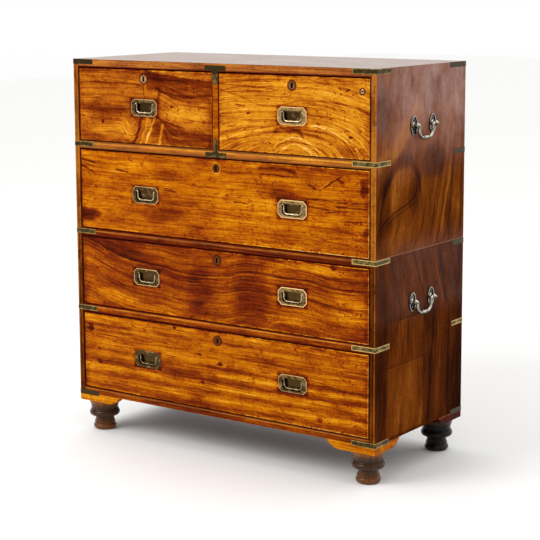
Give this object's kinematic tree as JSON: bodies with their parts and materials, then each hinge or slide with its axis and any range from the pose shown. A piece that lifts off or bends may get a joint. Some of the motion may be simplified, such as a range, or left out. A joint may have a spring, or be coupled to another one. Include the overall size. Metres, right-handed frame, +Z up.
{
  "type": "campaign chest",
  "caption": "Two-section campaign chest of drawers with brass straps, flush drawer handles, side carrying handles and turned removable feet.",
  "frame": {"origin": "on the floor, under the middle of the case", "axes": "+Z up, the drawers face -Y, +X to the right as seen from the front"},
  "size_m": [1.034, 0.4532, 1.0638],
  "materials": {
    "front_wood": "polished golden-orange camphor wood",
    "case_wood": "polished camphor wood",
    "side_wood": "polished red-brown camphor wood",
    "drawer_wood": "bare planed wood",
    "back_wood": "bare sawn wood",
    "dark_wood": "dark stained and polished turning",
    "aged_brass": "aged brass with olive patina",
    "iron_patina": "grey-green patina on cast brass",
    "lock_brass": "worn brass",
    "lock_steel": "worn steel"
  },
  "bodies": {
    "lower_case": {"lower_left_side": "side_wood", "lower_right_side": "side_wood", "joint_board": "case_wood", "base_board": "case_wood", "lower_back": "back_wood", "lower_drawer_rail": "case_wood", "lower_brass_straps": "aged_brass", "lower_handle_rosettes": "iron_patina", "corner_brackets": "case_wood", "locating_pegs": "dark_wood"},
    "upper_case": {"upper_left_side": "side_wood", "upper_right_side": "side_wood", "top_board": "case_wood", "short_drawer_divider": "case_wood", "upper_deck": "case_wood", "upper_back": "back_wood", "upper_drawer_rail": "case_wood", "upper_brass_straps": "aged_brass", "upper_handle_rosettes": "iron_patina"},
    "short_left_drawer": {"short_left_drawer_front": "front_wood", "short_left_drawer_box": "drawer_wood", "short_left_drawer_handle_plates": "aged_brass", "short_left_drawer_lock": "lock_brass"},
    "short_left_lock_bolt": {"short_left_drawer_lock_bolt": "lock_steel"},
    "short_left_drawer_bail": {"short_left_drawer_bail": "aged_brass"},
    "short_right_drawer": {"short_right_drawer_front": "front_wood", "short_right_drawer_box": "drawer_wood", "short_right_drawer_handle_plates": "aged_brass", "short_right_drawer_lock": "lock_brass"},
    "short_right_lock_bolt": {"short_right_drawer_lock_bolt": "lock_steel"},
    "short_right_drawer_bail": {"short_right_drawer_bail": "aged_brass"},
    "upper_long_drawer": {"upper_long_drawer_front": "front_wood", "upper_long_drawer_box": "drawer_wood", "upper_long_drawer_handle_plates": "aged_brass", "upper_long_drawer_lock": "lock_brass"},
    "upper_long_lock_bolt": {"upper_long_drawer_lock_bolt": "lock_steel"},
    "upper_long_drawer_left_bail": {"upper_long_drawer_left_bail": "aged_brass"},
    "upper_long_drawer_right_bail": {"upper_long_drawer_right_bail": "aged_brass"},
    "middle_long_drawer": {"middle_long_drawer_front": "front_wood", "middle_long_drawer_box": "drawer_wood", "middle_long_drawer_handle_plates": "aged_brass", "middle_long_drawer_lock": "lock_brass"},
    "middle_long_lock_bolt": {"middle_long_drawer_lock_bolt": "lock_steel"},
    "middle_long_drawer_left_bail": {"middle_long_drawer_left_bail": "aged_brass"},
    "middle_long_drawer_right_bail": {"middle_long_drawer_right_bail": "aged_brass"},
    "bottom_long_drawer": {"bottom_long_drawer_front": "front_wood", "bottom_long_drawer_box": "drawer_wood", "bottom_long_drawer_handle_plates": "aged_brass", "bottom_long_drawer_lock": "lock_brass"},
    "bottom_long_lock_bolt": {"bottom_long_drawer_lock_bolt": "lock_steel"},
    "bottom_long_drawer_left_bail": {"bottom_long_drawer_left_bail": "aged_brass"},
    "bottom_long_drawer_right_bail": {"bottom_long_drawer_right_bail": "aged_brass"},
    "upper_left_carrying_bail": {"upper_left_carrying_bail": "iron_patina"},
    "upper_right_carrying_bail": {"upper_right_carrying_bail": "iron_patina"},
    "lower_left_carrying_bail": {"lower_left_carrying_bail": "iron_patina"},
    "lower_right_carrying_bail": {"lower_right_carrying_bail": "iron_patina"},
    "front_left_foot": {"front_left_foot": "dark_wood"},
    "front_right_foot": {"front_right_foot": "dark_wood"},
    "back_left_foot": {"back_left_foot": "dark_wood"},
    "back_right_foot": {"back_right_foot": "dark_wood"}
  },
  "joints": [
    {"name": "upper_case_lift", "type": "slide", "parent": "lower_case", "child": "upper_case", "axis": [0, 0, 1], "range_m": [0, 0.06]},
    {"name": "short_left_drawer_slide", "type": "slide", "parent": "upper_case", "child": "short_left_drawer", "axis": [0, -1, 0], "range_m": [0, 0.35]},
    {"name": "short_left_lock_bolt_throw", "type": "slide", "parent": "short_left_drawer", "child": "short_left_lock_bolt", "axis": [0, 0, 1], "range_m": [0, 0.008]},
    {"name": "short_left_drawer_bail_swing", "type": "hinge", "parent": "short_left_drawer", "child": "short_left_drawer_bail", "pos_m": [-0.24325, -0.2231, 0.9473], "axis": [-1, 0, 0], "range_deg": [0, 90]},
    {"name": "short_right_drawer_slide", "type": "slide", "parent": "upper_case", "child": "short_right_drawer", "axis": [0, -1, 0], "range_m": [0, 0.35]},
    {"name": "short_right_lock_bolt_throw", "type": "slide", "parent": "short_right_drawer", "child": "short_right_lock_bolt", "axis": [0, 0, 1], "range_m": [0, 0.008]},
    {"name": "short_right_drawer_bail_swing", "type": "hinge", "parent": "short_right_drawer", "child": "short_right_drawer_bail", "pos_m": [0.24325, -0.2231, 0.9473], "axis": [-1, 0, 0], "range_deg": [0, 90]},
    {"name": "upper_long_drawer_slide", "type": "slide", "parent": "upper_case", "child": "upper_long_drawer", "axis": [0, -1, 0], "range_m": [0, 0.35]},
    {"name": "upper_long_lock_bolt_throw", "type": "slide", "parent": "upper_long_drawer", "child": "upper_long_lock_bolt", "axis": [0, 0, 1], "range_m": [0, 0.008]},
    {"name": "upper_long_drawer_left_bail_swing", "type": "hinge", "parent": "upper_long_drawer", "child": "upper_long_drawer_left_bail", "pos_m": [-0.24325, -0.2231, 0.7083], "axis": [-1, 0, 0], "range_deg": [0, 90]},
    {"name": "upper_long_drawer_right_bail_swing", "type": "hinge", "parent": "upper_long_drawer", "child": "upper_long_drawer_right_bail", "pos_m": [0.24325, -0.2231, 0.7083], "axis": [-1, 0, 0], "range_deg": [0, 90]},
    {"name": "middle_long_drawer_slide", "type": "slide", "parent": "lower_case", "child": "middle_long_drawer", "axis": [0, -1, 0], "range_m": [0, 0.35]},
    {"name": "middle_long_lock_bolt_throw", "type": "slide", "parent": "middle_long_drawer", "child": "middle_long_lock_bolt", "axis": [0, 0, 1], "range_m": [0, 0.008]},
    {"name": "middle_long_drawer_left_bail_swing", "type": "hinge", "parent": "middle_long_drawer", "child": "middle_long_drawer_left_bail", "pos_m": [-0.24325, -0.2231, 0.47975], "axis": [-1, 0, 0], "range_deg": [0, 90]},
    {"name": "middle_long_drawer_right_bail_swing", "type": "hinge", "parent": "middle_long_drawer", "child": "middle_long_drawer_right_bail", "pos_m": [0.24325, -0.2231, 0.47975], "axis": [-1, 0, 0], "range_deg": [0, 90]},
    {"name": "bottom_long_drawer_slide", "type": "slide", "parent": "lower_case", "child": "bottom_long_drawer", "axis": [0, -1, 0], "range_m": [0, 0.35]},
    {"name": "bottom_long_lock_bolt_throw", "type": "slide", "parent": "bottom_long_drawer", "child": "bottom_long_lock_bolt", "axis": [0, 0, 1], "range_m": [0, 0.008]},
    {"name": "bottom_long_drawer_left_bail_swing", "type": "hinge", "parent": "bottom_long_drawer", "child": "bottom_long_drawer_left_bail", "pos_m": [-0.24325, -0.2231, 0.24875], "axis": [-1, 0, 0], "range_deg": [0, 90]},
    {"name": "bottom_long_drawer_right_bail_swing", "type": "hinge", "parent": "bottom_long_drawer", "child": "bottom_long_drawer_right_bail", "pos_m": [0.24325, -0.2231, 0.24875], "axis": [-1, 0, 0], "range_deg": [0, 90]},
    {"name": "upper_left_carrying_bail_swing", "type": "hinge", "parent": "upper_case", "child": "upper_left_carrying_bail", "pos_m": [-0.5055, 0, 0.9123], "axis": [0, 1, 0], "range_deg": [-6, 186]},
    {"name": "upper_right_carrying_bail_swing", "type": "hinge", "parent": "upper_case", "child": "upper_right_carrying_bail", "pos_m": [0.5055, 0, 0.9123], "axis": [0, -1, 0], "range_deg": [-6, 186]},
    {"name": "lower_left_carrying_bail_swing", "type": "hinge", "parent": "lower_case", "child": "lower_left_carrying_bail", "pos_m": [-0.5055, 0, 0.456], "axis": [0, 1, 0], "range_deg": [-6, 186]},
    {"name": "lower_right_carrying_bail_swing", "type": "hinge", "parent": "lower_case", "child": "lower_right_carrying_bail", "pos_m": [0.5055, 0, 0.456], "axis": [0, -1, 0], "range_deg": [-6, 186]},
    {"name": "front_left_foot_unscrew", "type": "slide", "parent": "lower_case", "child": "front_left_foot", "axis": [0, 0, -1], "range_m": [0, 0.04]},
    {"name": "front_right_foot_unscrew", "type": "slide", "parent": "lower_case", "child": "front_right_foot", "axis": [0, 0, -1], "range_m": [0, 0.04]},
    {"name": "back_left_foot_unscrew", "type": "slide", "parent": "lower_case", "child": "back_left_foot", "axis": [0, 0, -1], "range_m": [0, 0.04]},
    {"name": "back_right_foot_unscrew", "type": "slide", "parent": "lower_case", "child": "back_right_foot", "axis": [0, 0, -1], "range_m": [0, 0.04]}
  ]
}
